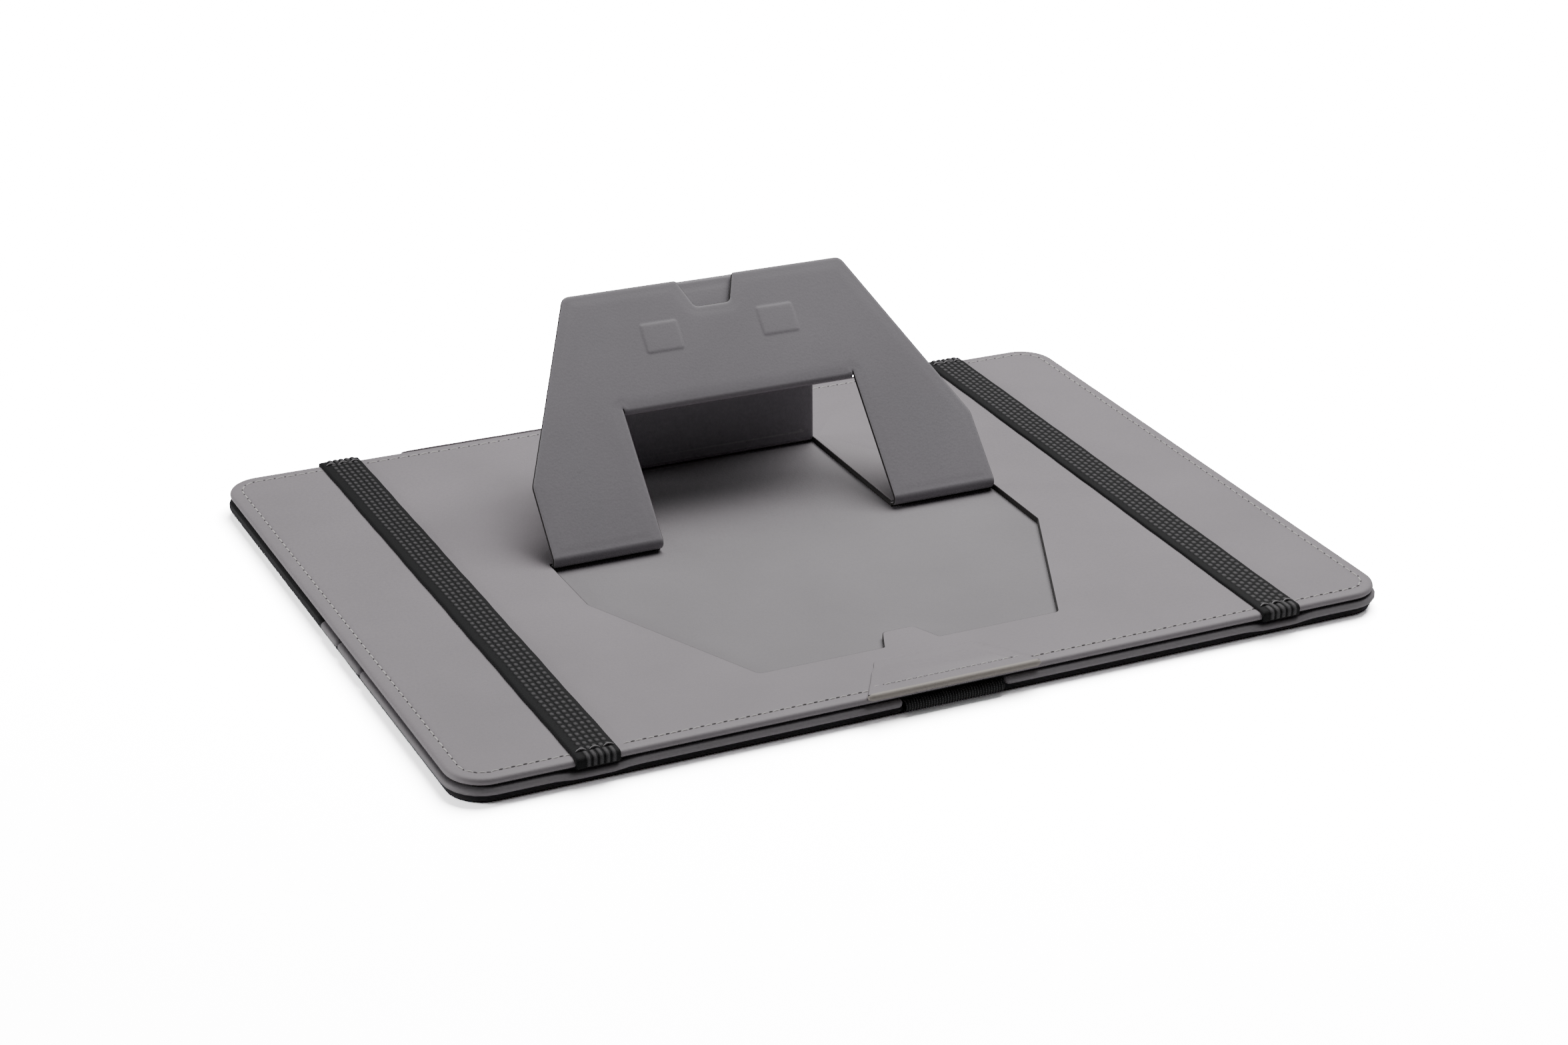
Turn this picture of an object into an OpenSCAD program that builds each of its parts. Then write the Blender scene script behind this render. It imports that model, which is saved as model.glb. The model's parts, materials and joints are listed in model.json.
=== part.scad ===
// Folio case for a tablet and keyboard, with a fold-out stand cut into its top panel.
// Millimetres, +Z up. The case rests on z = 0 and its near edge faces -Y.
// Two panels meet at a spine along the far edge. The upper panel carries the stand, a single
// sheet with four folds: feet, window, top and back. Each fold is a strip of bare leather.

/* [Case] */
// Width of both panels
case_w = 340; // [320:1:370]
// Depth of both panels from the near edge to the spine
case_d = 239; // [230:1:260]
// Overall height of the closed case
case_h = 8.9; // [8.9:0.1:12]
// Corner radius of both panels, seen from above
corner_r = 12.5; // [8:0.5:20]
// Thickness of the grey cover skin
skin_t = 0.5; // [0.4:0.05:0.7]
// Width of the rolled rim around the panel's board
rim_w = 1.2; // [1:0.1:1.6]
// Radius of the upper edge of the rolled rim
rim_r = 0.9; // [0.5:0.1:1]

/* [Lower panel] */
// Thickness of the outer skin that lies on the table
under_skin_t = 0.8; // [0.6:0.1:1]
// Thickness of the stiffening board
lower_board_t = 2.0; // [1.6:0.1:2]
// Thickness of the lining
lining_t = 0.5; // [0.3:0.1:0.5]
// Thickness of each pocket layer
pocket_t = 0.7; // [0.5:0.1:0.7]
// Depth of the largest pocket from the near edge
pocket_large_d = 126; // [115:1:140]
// Depth of the middle pocket from the near edge
pocket_middle_d = 109; // [98:1:112]
// Depth of the smallest pocket from the near edge
pocket_small_d = 87; // [60:1:95]
// Width of the elastic pen loop
loop_w = 36; // [20:1:50]
// How far the pen loop stands out of the near edge
loop_out = 1.6; // [1.6:0.1:1.6]

/* [Bands] */
// Width of each elastic band
band_w = 15; // [10:1:20]
// Distance of each band's middle from the middle of the case
band_x = 125.5; // [115:0.5:135]
// Thickness of a band on the top face and round the edges
band_t = 1.2; // [0.8:0.1:1.4]
// Thickness of a band where it lies under the panel
band_under_t = 0.5; // [0.3:0.1:0.5]

/* [Top panel] */
// Depth of the recess under the folded stand
recess_d = 2.1; // [2:0.1:2.2]
// Distance of the seam from the panel's edge
seam_in = 4.5; // [3.5:0.1:6]
// Height of the closure patch above the top face
patch_t = 1.3; // [0.8:0.1:1.5]

/* [Stand] */
// Thickness of the folding sheet
sheet_t = 1.6; // [1.4:0.1:1.6]
// Lean of the raised plate above the horizontal
lean = 45; // [45:1:46]
// Distance of the feet fold from the near edge
feet_y = 127; // [126.5:0.5:127.5]
// Distance of the back fold from the near edge
back_y = 193; // [192.5:0.5:193.5]
// Distance from the feet fold to the window fold, up the plate
window_s = 50; // [49.5:0.5:50]
// Length of the plate from the feet fold to its upper edge
plate_len = 97.2; // [96:0.1:97.2]
// Half width of the plate at its feet
plate_foot_x = 86.8; // [84:0.1:86.8]
// Half width of the plate at its upper edge
plate_top_x = 55.3; // [50:0.1:55.3]
// Half width of the window between the plate's legs
window_x = 45.5; // [45.2:0.1:46]
// Half width of the flap and of the strut
inner_x = 45.0; // [40:0.1:45]

/* [Hidden] */
$fn = 96;
board_t = sheet_t / 2;
face_t = sheet_t / 4;
eps = 0.02;
mid_z = -sheet_t / 2;

// Heights above the sheet's middle plane of the four fold axes
feet_h = 1.1;
window_h = 1.1;
top_h = 0.6;
back_h = 0.5;
// Bend radii of the four folds, to the sheet's middle plane
feet_r = 2.1;
window_r = 1.1;
top_r = 1.1;
back_r = 1.2;

// Side view of the raised stand in y and z: the feet axis a, window axis b, top axis c and
// back axis d. The flap and the strut are as long as makes the sheet lie flat when stowed.
up = [cos(lean), sin(lean)];
out = [-sin(lean), cos(lean)];
pole_a = [feet_y, mid_z + feet_h];
pole_d = [back_y, mid_z + back_h];
pole_b = pole_a + window_s * up + (feet_h - window_h) * out;
gap_v = pole_b - (window_h + top_h) * out - pole_d;
gap_up = gap_v * up;
gap_out = gap_v * out;
span = back_y - feet_y + window_s;
lift = top_h + back_h;
flap_len = (span * span + lift * lift - gap_up * gap_up - gap_out * gap_out) / (2 * (gap_up + span));
strut_len = span - flap_len;
pole_c = pole_b + flap_len * up - (window_h + top_h) * out;
strut_v = pole_c - pole_d;
strut_dir = atan2(strut_v[1], strut_v[0]);
strut_stowed = 360 + atan2(-lift, -strut_len);
strut_turn = strut_stowed - strut_dir;
strut_lean = 180 - strut_turn;

// Length of sheet that each fold takes up on either side of its axis
feet_u = (feet_r - feet_h) / tan(lean / 2);
window_u = PI * window_r / 2;
top_u = (top_r - top_h) / tan((strut_lean - lean) / 2);
back_u = (back_r - back_h) / tan(strut_lean / 2);

// Recess around the stowed stand
recess_gap = 0.4;
recess_front_y = feet_y - plate_len - 0.6;
recess_knee_y = 96;
plate_knee_s = 29;
plate_knee_x = plate_foot_x - 0.3;
corner_top_r = 3.5;
recess_corner_r = 2;
notch_top_x = 11.2;
notch_low_x = 6.8;
notch_d = 11;
bump_base_x = 10.3;
bump_top_x = 5.8;
bump_d = 10;
magnet = [14, 11];
magnet_x = 23;
magnet_s = 76.5;
pad_t = 0.25;
corner_steps = 6;

// Heights inside the top panel, measured from its top face
floor_t = 0.3;
floor_top = -recess_d;
rim_low = -recess_d - floor_t;
top_lining_t = 0.3;
panel_low = rim_low - top_lining_t;

// Heights inside the lower panel, measured from the table
lower_board_z = under_skin_t;
lining_z = lower_board_z + lower_board_t;
pocket_z = lining_z + lining_t;
loop_r = 2.0;
loop_t = 0.9;
loop_z = 3.1;
loop_in = 8;
loop_gap = 0.4;

// Spine and its two hinges
spine_x = 101;
hinge_r = 1.2;
hinge_t = 0.8;
spine_low = hinge_r + hinge_t / 2;
spine_high = case_h - spine_low;
spine_board_t = 0.5;

// Seams
thread_w = 0.7;
thread_h = 0.15;
patch_pts = [[-32, -1.2], [32, -1.2], [32, 0], [27, 7.3], [23, 14], [20.5, 17], [18.5, 21.5],
             [-18.5, 21.5], [-20.5, 17], [-23, 14], [-27, 7.3], [-32, 0]];
patch_lip = 0.9;

// Colours
grey = [0.60, 0.59, 0.60];
mid_grey = [0.48, 0.47, 0.49];
dark = [0.10, 0.10, 0.11];
black = [0.05, 0.05, 0.055];
board_col = [0.09, 0.085, 0.08];
thread_col = [0.72, 0.71, 0.70];
steel = [0.62, 0.63, 0.65];

// Unit vector from p towards q
function dirn(p, q) = (q - p) / norm(q - p);
// Half the corner angle at p between its neighbours a and b
function half_angle(p, a, b) = acos(dirn(p, a) * dirn(p, b)) / 2;
// Where a round of radius r leaves the side from p to a
function leave(p, a, b, r) = p + dirn(p, a) * r / tan(half_angle(p, a, b));
// Centre of that round
function centre(p, a, b, r) =
    p + dirn([0, 0], dirn(p, a) + dirn(p, b)) * r / sin(half_angle(p, a, b));

// Turn from angle a to angle b, the short way round
function turn(a, b) = (b - a + 540) % 360 - 180;
// Direction of a vector
function angle_of(v) = atan2(v[1], v[0]);
// Points along the round of radius r at corner p, from its neighbour a's side to b's side
function round_points(p, a, b, r) =
    let (c = centre(p, a, b, r),
         from = angle_of(leave(p, a, b, r) - c),
         sweep = turn(from, angle_of(leave(p, b, a, r) - c)))
    [for (i = [0 : corner_steps]) c + r * [cos(from + sweep * i / corner_steps),
                                           sin(from + sweep * i / corner_steps)]];

// Outline whose corners have the given radii
module soft_polygon(pts, rad) {
    n = len(pts);
    polygon([for (i = [0 : n - 1])
        each (rad[i] == 0 ? [pts[i]]
            : round_points(pts[i], pts[(i + n - 1) % n], pts[(i + 1) % n], rad[i]))]);
}

// Panel outline drawn in from the edge by the given inset, near edge at y = 0
module outline(inset) {
    r = corner_r - inset;
    w = case_w - 2 * inset;
    d = case_d - 2 * inset;
    translate([-w / 2 + r, inset]) square([w - 2 * r, d]);
    translate([-w / 2, inset + r]) square([w, d - 2 * r]);
    for (x = [-w / 2 + r, w / 2 - r])
        for (y = [inset + r, inset + d - r])
            translate([x, y]) circle(r);
}

// Flat layer of a panel between two heights
module layer(inset, low, high) {
    translate([0, 0, low]) linear_extrude(high - low) outline(inset);
}

// Layer whose upper edge is rounded all the way round
module rolled_layer(low, high, r) {
    c = corner_r - r;
    layer(0, low, high - r);
    layer(r, low, high);
    for (x = [-case_w / 2 + corner_r, case_w / 2 - corner_r])
        for (y = [corner_r, case_d - corner_r])
            translate([x, y, high - r]) rotate_extrude() translate([c, 0]) circle(r, $fn = 32);
    for (x = [-case_w / 2 + r, case_w / 2 - r])
        translate([x, corner_r, high - r])
            rotate([-90, 0, 0]) cylinder(h = case_d - 2 * corner_r, r = r, $fn = 32);
    for (y = [r, case_d - r])
        translate([-case_w / 2 + corner_r, y, high - r])
            rotate([0, 90, 0]) cylinder(h = case_w - 2 * corner_r, r = r, $fn = 32);
}

// Places the top panel, drawn with its top face at z = 0 and its near edge at y = 0
module on_top() {
    translate([0, -case_d / 2, case_h]) children();
}

// Places the lower panel, drawn from the table up with its near edge at y = 0
module on_table() {
    translate([0, -case_d / 2, 0]) children();
}

// Places a sheet drawn flat, turned up about a fold axis
module on_pole(pole, angle) {
    on_top() translate([0, pole[0], pole[1]]) rotate([angle, 0, 0]) children();
}

// Strip of leather bent about an axis along X
module bend(centre_yz, r, from, to, x, length) {
    on_top() translate([x, centre_yz[0], centre_yz[1]]) rotate([90, 0, 90]) rotate([0, 0, from])
        rotate_extrude(angle = to - from) translate([r - sheet_t / 2, 0]) square([sheet_t, length]);
}

// Cut-out that the stand folds out of, drawn round from its front left corner
module cut_out_shape() {
    front_x = plate_top_x + recess_gap + 0.1;
    side_x = plate_foot_x + recess_gap;
    knee_x = side_x - 0.2;
    feet_end = feet_y + feet_u;
    back_end = back_y + back_u;
    gap_x = inner_x + 0.6;
    bump_y = recess_front_y + bump_d;
    soft_polygon([[-front_x, recess_front_y], [-bump_base_x, recess_front_y],
                  [-bump_top_x, bump_y], [bump_top_x, bump_y],
                  [bump_base_x, recess_front_y], [front_x, recess_front_y],
                  [knee_x, recess_knee_y], [side_x, feet_end],
                  [gap_x, feet_end], [gap_x, back_end],
                  [-gap_x, back_end], [-gap_x, feet_end],
                  [-side_x, feet_end], [-knee_x, recess_knee_y]],
                 [recess_corner_r, 0, 2.5, 2.5, 0, recess_corner_r, 0, 0, 0, 0, 0, 0, 0, 0]);
}

// Stand plate, its feet at y = 0 being the fold axis
module plate_shape() {
    slope = (notch_top_x - notch_low_x) / notch_d;
    difference() {
        soft_polygon([[-plate_foot_x, feet_u], [plate_foot_x, feet_u],
                      [plate_knee_x, plate_knee_s], [plate_top_x, plate_len],
                      [-plate_top_x, plate_len], [-plate_knee_x, plate_knee_s]],
                     [0, 0, 0, corner_top_r, corner_top_r, 0]);
        translate([-window_x, -1]) square([2 * window_x, window_s + window_u + 1]);
        polygon([[-notch_low_x, plate_len - notch_d], [notch_low_x, plate_len - notch_d],
                 [notch_top_x + slope, plate_len + 1], [-notch_top_x - slope, plate_len + 1]]);
    }
}

module flap_shape() {
    translate([-inner_x, window_u]) square([2 * inner_x, flap_len - window_u - top_u]);
}

module strut_shape() {
    translate([-inner_x, back_u]) square([2 * inner_x, strut_len - back_u - top_u]);
}

module magnet_shape(along, grow) {
    for (x = [-magnet_x, magnet_x])
        translate([x - magnet[0] / 2 - grow, along - magnet[1] / 2 - grow])
            square([magnet[0] + 2 * grow, magnet[1] + 2 * grow]);
}

// Notch in the lower panel's near edge that the pen loop is sewn into
module loop_notch(low, high) {
    translate([-loop_w / 2 - loop_gap, -5, low]) cube([loop_w + 2 * loop_gap, loop_in + 5, high - low]);
}

module pocket(depth, level) {
    low = pocket_z + level * pocket_t;
    on_table() difference() {
        intersection() {
            layer(0, low, low + pocket_t);
            translate([-case_w, -1, 0]) cube([2 * case_w, depth + 1, case_h]);
        }
        loop_notch(low - 1, low + 1 + pocket_t);
    }
}

module lower_skin() {
    color(dark) on_table() layer(0, 0, under_skin_t);
}

module lower_board() {
    color(board_col) on_table() difference() {
        layer(rim_w, lower_board_z, lining_z);
        loop_notch(lower_board_z - 1, lining_z + 1);
    }
}

module lower_lining() {
    color(black) on_table() difference() {
        layer(0, lower_board_z, pocket_z);
        layer(rim_w, lower_board_z - 1, lining_z);
        loop_notch(lower_board_z - 1, pocket_z + 1);
    }
}

module pocket_large() {
    color(grey) pocket(pocket_large_d, 0);
}

module pocket_middle() {
    color(grey) pocket(pocket_middle_d, 1);
}

module pocket_small() {
    color(grey) pocket(pocket_small_d, 2);
}

module pen_loop() {
    color(black) on_table() translate([-loop_w / 2, 0, loop_z]) rotate([90, 0, 90])
        linear_extrude(loop_w) difference() {
            union() {
                translate([loop_r - loop_out, 0]) circle(loop_r);
                translate([loop_r - loop_out, -loop_r]) square([loop_in - loop_r + loop_out, 2 * loop_r]);
            }
            translate([loop_r - loop_out, 0]) circle(loop_r - loop_t);
            translate([loop_r - loop_out, loop_t - loop_r])
                square([loop_in, 2 * (loop_r - loop_t)]);
        }
}

module spine_leather() {
    color(grey) on_table()
        translate([-spine_x, case_d + hinge_r - hinge_t / 2, spine_low])
            cube([2 * spine_x, hinge_t, spine_high - spine_low]);
}

module spine_board() {
    color(board_col) on_table()
        translate([-spine_x + 1, case_d + hinge_r - hinge_t / 2 - spine_board_t, spine_low + 0.4])
            cube([2 * spine_x - 2, spine_board_t, spine_high - spine_low - 0.8]);
}

module hinge_strip(z, from) {
    color(grey) on_table() translate([-spine_x, case_d, z]) rotate([90, 0, 90])
        rotate([0, 0, from]) rotate_extrude(angle = 90)
            translate([hinge_r - hinge_t / 2, 0]) square([hinge_t, 2 * spine_x]);
}

module lower_hinge() {
    hinge_strip(spine_low, -90);
}

module upper_hinge() {
    hinge_strip(spine_high, 0);
}

module top_skin() {
    color(grey) on_top() difference() {
        rolled_layer(rim_low, 0, rim_r);
        layer(rim_w, rim_low - 1, -skin_t);
        translate([0, 0, -5]) linear_extrude(6) cut_out_shape();
    }
}

module top_board() {
    color(black) on_top() difference() {
        layer(rim_w, floor_top, -skin_t);
        translate([0, 0, -5]) linear_extrude(6) cut_out_shape();
    }
}

module recess_floor() {
    color(grey) on_top() layer(rim_w, rim_low, floor_top);
}

module top_lining() {
    color(black) on_top() layer(rim_w / 2, panel_low, rim_low);
}

module band(x) {
    low = panel_low - band_under_t;
    r = band_t;
    color(dark) on_top() translate([x - band_w / 2, 0, 0]) rotate([90, 0, 90])
        linear_extrude(band_w) difference() {
            union() {
                translate([-band_t, low + r])
                    square([case_d + 2 * band_t, band_t - low - 2 * r]);
                translate([-band_t + r, low])
                    square([case_d + 2 * band_t - 2 * r, band_t - low]);
                for (y = [-band_t + r, case_d + band_t - r])
                    for (z = [low + r, band_t - r])
                        translate([y, z]) circle(r, $fn = 32);
            }
            translate([0, panel_low]) square([case_d, -panel_low]);
        }
}

module band_left() {
    band(-band_x);
}

module band_right() {
    band(band_x);
}

module closure_patch() {
    color(grey) on_top() {
        linear_extrude(patch_t) polygon(patch_pts);
        translate([-32, -1.2, -patch_lip]) cube([64, 1.2, patch_lip]);
    }
}

module perimeter_seam() {
    color(thread_col) on_top() {
        difference() {
            layer(seam_in - thread_w / 2, 0, thread_h);
            layer(seam_in + thread_w / 2, -1, 1);
            for (x = [-band_x, band_x])
                translate([x - band_w / 2, -1, -1]) cube([band_w, case_d + 2, 3]);
            linear_extrude(3) polygon(patch_pts);
        }
        translate([-26, seam_in - thread_w / 2, patch_t]) cube([52, thread_w, thread_h]);
    }
}

module band_seams() {
    color(thread_col) on_top()
        for (x = [-band_x, band_x])
            for (y = [seam_in, case_d - seam_in])
                translate([x - band_w / 2 + 1, y - thread_w / 2, band_t])
                    cube([band_w - 2, thread_w, thread_h]);
}

module plate_front() {
    color(mid_grey) on_pole(pole_a, lean) translate([0, 0, feet_h + board_t / 2]) {
        linear_extrude(face_t) plate_shape();
        linear_extrude(face_t + pad_t) magnet_shape(magnet_s, 0);
    }
}

module plate_board() {
    color(board_col) on_pole(pole_a, lean) translate([0, 0, feet_h - board_t / 2])
        linear_extrude(board_t) difference() {
            plate_shape();
            magnet_shape(magnet_s, 0.1);
        }
}

module plate_back() {
    color(mid_grey) on_pole(pole_a, lean) translate([0, 0, feet_h - sheet_t / 2])
        linear_extrude(face_t) plate_shape();
}

module plate_magnets() {
    color(steel) on_pole(pole_a, lean) translate([0, 0, feet_h - board_t / 2])
        linear_extrude(board_t) magnet_shape(magnet_s, 0);
}

module flap_front() {
    color(mid_grey) on_pole(pole_b, lean) translate([0, 0, -window_h + board_t / 2])
        linear_extrude(face_t) flap_shape();
}

module flap_board() {
    color(board_col) on_pole(pole_b, lean) translate([0, 0, -window_h - board_t / 2])
        linear_extrude(board_t) difference() {
            flap_shape();
            magnet_shape(magnet_s - window_s, 0.1);
        }
}

module flap_back() {
    color(grey) on_pole(pole_b, lean) translate([0, 0, -window_h - sheet_t / 2])
        linear_extrude(face_t) flap_shape();
}

module flap_keepers() {
    color(steel) on_pole(pole_b, lean) translate([0, 0, -window_h - board_t / 2])
        linear_extrude(board_t) magnet_shape(magnet_s - window_s, 0);
}

module strut_front() {
    color(mid_grey) on_pole(pole_d, strut_lean) translate([0, 0, back_h + board_t / 2])
        linear_extrude(face_t) strut_shape();
}

module strut_board() {
    color(board_col) on_pole(pole_d, strut_lean) translate([0, 0, back_h - board_t / 2])
        linear_extrude(board_t) strut_shape();
}

module strut_back() {
    color(grey) on_pole(pole_d, strut_lean) translate([0, 0, back_h - sheet_t / 2])
        linear_extrude(face_t) strut_shape();
}

module foot_fold(x) {
    color(mid_grey) bend(pole_a + [feet_u, feet_r - feet_h], feet_r, 90 + lean, 270, x,
                         plate_foot_x - window_x - 0.4);
}

module foot_fold_left() {
    foot_fold(-plate_foot_x + 0.2);
}

module foot_fold_right() {
    foot_fold(window_x + 0.2);
}

module window_fold() {
    color(mid_grey) bend(pole_b + window_u * up, window_r, 90 + lean, 270 + lean,
                         -inner_x, 2 * inner_x);
}

module top_fold() {
    color(mid_grey) bend(pole_c - top_u * up + (top_h - top_r) * out, top_r,
                         strut_lean - 90, 90 + lean, -inner_x, 2 * inner_x);
}

module back_fold() {
    color(mid_grey) bend(pole_d + [back_u, back_r - back_h], back_r, 90 + strut_lean, 270,
                         -inner_x, 2 * inner_x);
}

lower_skin();
lower_board();
lower_lining();
pocket_large();
pocket_middle();
pocket_small();
pen_loop();
spine_leather();
spine_board();
lower_hinge();
upper_hinge();
top_skin();
top_board();
recess_floor();
top_lining();
band_left();
band_right();
closure_patch();
perimeter_seam();
band_seams();
plate_front();
plate_board();
plate_back();
plate_magnets();
flap_front();
flap_board();
flap_back();
flap_keepers();
strut_front();
strut_board();
strut_back();
foot_fold_left();
foot_fold_right();
window_fold();
top_fold();
back_fold();
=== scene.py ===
import json
import math
import bpy
import bmesh
from mathutils import Matrix, Vector
from mathutils.geometry import delaunay_2d_cdt


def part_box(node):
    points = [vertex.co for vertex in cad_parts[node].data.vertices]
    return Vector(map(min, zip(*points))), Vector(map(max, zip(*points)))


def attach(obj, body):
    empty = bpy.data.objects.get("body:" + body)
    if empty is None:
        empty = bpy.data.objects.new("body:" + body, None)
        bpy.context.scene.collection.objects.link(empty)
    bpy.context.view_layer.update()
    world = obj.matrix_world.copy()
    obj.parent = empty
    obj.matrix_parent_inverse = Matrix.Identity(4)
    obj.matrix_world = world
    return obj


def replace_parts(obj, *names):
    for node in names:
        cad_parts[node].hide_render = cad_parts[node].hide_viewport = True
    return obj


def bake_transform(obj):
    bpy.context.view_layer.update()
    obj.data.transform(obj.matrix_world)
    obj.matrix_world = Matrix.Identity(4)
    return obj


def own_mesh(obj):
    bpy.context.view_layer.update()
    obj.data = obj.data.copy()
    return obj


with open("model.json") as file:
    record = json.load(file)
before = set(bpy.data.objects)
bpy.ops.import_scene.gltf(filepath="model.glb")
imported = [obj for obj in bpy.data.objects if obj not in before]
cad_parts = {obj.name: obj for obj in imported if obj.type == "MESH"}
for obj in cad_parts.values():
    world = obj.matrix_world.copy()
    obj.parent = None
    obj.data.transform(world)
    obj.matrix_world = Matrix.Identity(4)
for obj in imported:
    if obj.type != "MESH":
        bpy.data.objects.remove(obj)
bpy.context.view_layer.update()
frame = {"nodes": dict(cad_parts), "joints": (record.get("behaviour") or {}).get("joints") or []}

# ---------------------------------------------------------------- the frame's own places
# Lengths below are in millimetres: x from the middle, y from the near edge, z from the top face.
low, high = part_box("top_skin")
HALF_W = high.x * 1000
DEPTH = (high.y - low.y) * 1000
NEAR_Y = low.y * 1000
TOP_Z = high.z * 1000
CORNER = 12.5
SEAM_IN = 4.5
TABLE = -TOP_Z
JOINTS = {j["name"]: j for j in frame["joints"]}


def place(x, y, z):
    """World place, in metres, of a point given in this file's millimetres."""
    return Vector((x, y + NEAR_Y, z + TOP_Z)) / 1000


def joint_at(name):
    """A joint's axis in the side view, as (y, z)."""
    p = JOINTS[name]["pos_m"]
    return Vector((p[1] * 1000 - NEAR_Y, p[2] * 1000 - TOP_Z))


# ---------------------------------------------------------------- materials
def material(name):
    """New material, with its nodes, links and shader."""
    m = bpy.data.materials.new(name)
    m.use_nodes = True
    n = m.node_tree.nodes
    return m, n, m.node_tree.links, n["Principled BSDF"]


def node(nodes, kind, **values):
    """New shader node. in_Scale=3 sets its input Scale, and type=... its property."""
    made = nodes.new(kind)
    for key, value in values.items():
        if key.startswith("in_"):
            made.inputs[key[3:].replace("_", " ")].default_value = value
        else:
            setattr(made, key, value)
    return made


def ramp(nodes, stops):
    """Colour ramp through (position, colour or grey value) stops."""
    made = nodes.new("ShaderNodeValToRGB")
    e = made.color_ramp.elements
    while len(e) < len(stops):
        e.new(0.5)
    for i, (at, value) in enumerate(stops):
        e[i].position = at
        e[i].color = tuple(value) + (1,) if hasattr(value, "__len__") else (value, value, value, 1)
    return made


# Cells of leather grain to the metre, and how much the tint drifts over the skin
GRAIN = 1500
MOTTLE = 0.05


def leather(name, base, rough=0.55, edge_highlight=None):
    """Fine-grained artificial leather, with faint mottling and a soft sheen. A paler colour, if given, is
    painted on its rounded edges as a highlight.
    """
    m, n, l, bsdf = material(name)
    co = node(n, "ShaderNodeTexCoord")
    big = node(n, "ShaderNodeTexNoise", in_Scale=22, in_Detail=3.0, in_Roughness=0.55)
    small = node(n, "ShaderNodeTexNoise", in_Scale=900, in_Detail=4.0, in_Roughness=0.6)
    cells = node(n, "ShaderNodeTexVoronoi", in_Scale=GRAIN)
    cells.feature = "SMOOTH_F1"
    fine = node(n, "ShaderNodeTexNoise", in_Scale=GRAIN * 2.4, in_Detail=2.0)
    for t in (big, small, cells, fine):
        l.new(co.outputs["Object"], t.inputs["Vector"])
    dark = [c * (1 - MOTTLE) for c in base]
    light = [min(1, c * (1 + MOTTLE)) for c in base]
    tint = ramp(n, [(0.3, dark), (0.7, light)])
    l.new(big.outputs["Fac"], tint.inputs["Fac"])
    pores = ramp(n, [(0.25, 0.90), (0.6, 1.03)])
    l.new(small.outputs["Fac"], pores.inputs["Fac"])
    mul = node(n, "ShaderNodeMix", data_type="RGBA", blend_type="MULTIPLY")
    mul.inputs["Factor"].default_value = 0.6
    l.new(tint.outputs["Color"], mul.inputs[6])
    l.new(pores.outputs["Color"], mul.inputs[7])
    colour = mul.outputs[2]
    # painted highlight: rounded edges, found by pointiness, are mixed towards the given paler colour
    if edge_highlight:
        geo = node(n, "ShaderNodeNewGeometry")
        edge = ramp(n, [(0.51, 0.0), (0.58, 1.0)])
        l.new(geo.outputs["Pointiness"], edge.inputs["Fac"])
        highlighted = node(n, "ShaderNodeMix", data_type="RGBA")
        l.new(edge.outputs["Color"], highlighted.inputs["Factor"])
        l.new(colour, highlighted.inputs[6])
        highlighted.inputs[7].default_value = tuple(edge_highlight) + (1,)
        colour = highlighted.outputs[2]
    l.new(colour, bsdf.inputs["Base Color"])
    gloss = ramp(n, [(0.3, rough - 0.06), (0.7, rough + 0.08)])
    l.new(small.outputs["Fac"], gloss.inputs["Fac"])
    l.new(gloss.outputs["Color"], bsdf.inputs["Roughness"])
    total = node(n, "ShaderNodeMath", operation="MULTIPLY_ADD")
    l.new(fine.outputs["Fac"], total.inputs[0])
    total.inputs[1].default_value = 0.35
    l.new(cells.outputs["Distance"], total.inputs[2])
    b = node(n, "ShaderNodeBump", in_Strength=0.12, in_Distance=0.0002)
    l.new(total.outputs[0], b.inputs["Height"])
    l.new(b.outputs["Normal"], bsdf.inputs["Normal"])
    bsdf.inputs["Specular IOR Level"].default_value = 0.35
    bsdf.inputs["Sheen Weight"].default_value = 0.08
    bsdf.inputs["Sheen Roughness"].default_value = 0.4
    return m


def fibre(name, base, light, rough=0.85, scale=2500):
    """Cut board edge, microfibre or felt: a fibrous, dull surface."""
    m, n, l, bsdf = material(name)
    co = node(n, "ShaderNodeTexCoord")
    stretch = node(n, "ShaderNodeMapping")
    stretch.inputs["Scale"].default_value = (1.0, 1.0, 2.5)
    l.new(co.outputs["Object"], stretch.inputs["Vector"])
    hair = node(n, "ShaderNodeTexNoise", in_Scale=scale, in_Detail=5.0, in_Roughness=0.7)
    patch = node(n, "ShaderNodeTexNoise", in_Scale=60, in_Detail=2.0)
    l.new(stretch.outputs["Vector"], hair.inputs["Vector"])
    l.new(co.outputs["Object"], patch.inputs["Vector"])
    mix = node(n, "ShaderNodeMath", operation="MULTIPLY_ADD")
    l.new(patch.outputs["Fac"], mix.inputs[0])
    mix.inputs[1].default_value = 0.4
    l.new(hair.outputs["Fac"], mix.inputs[2])
    tint = ramp(n, [(0.45, base), (0.95, light)])
    l.new(mix.outputs[0], tint.inputs["Fac"])
    l.new(tint.outputs["Color"], bsdf.inputs["Base Color"])
    b = node(n, "ShaderNodeBump", in_Strength=0.4, in_Distance=0.0001)
    l.new(hair.outputs["Fac"], b.inputs["Height"])
    l.new(b.outputs["Normal"], bsdf.inputs["Normal"])
    bsdf.inputs["Roughness"].default_value = rough
    bsdf.inputs["Specular IOR Level"].default_value = 0.2
    bsdf.inputs["Sheen Weight"].default_value = 0.15
    return m


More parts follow.
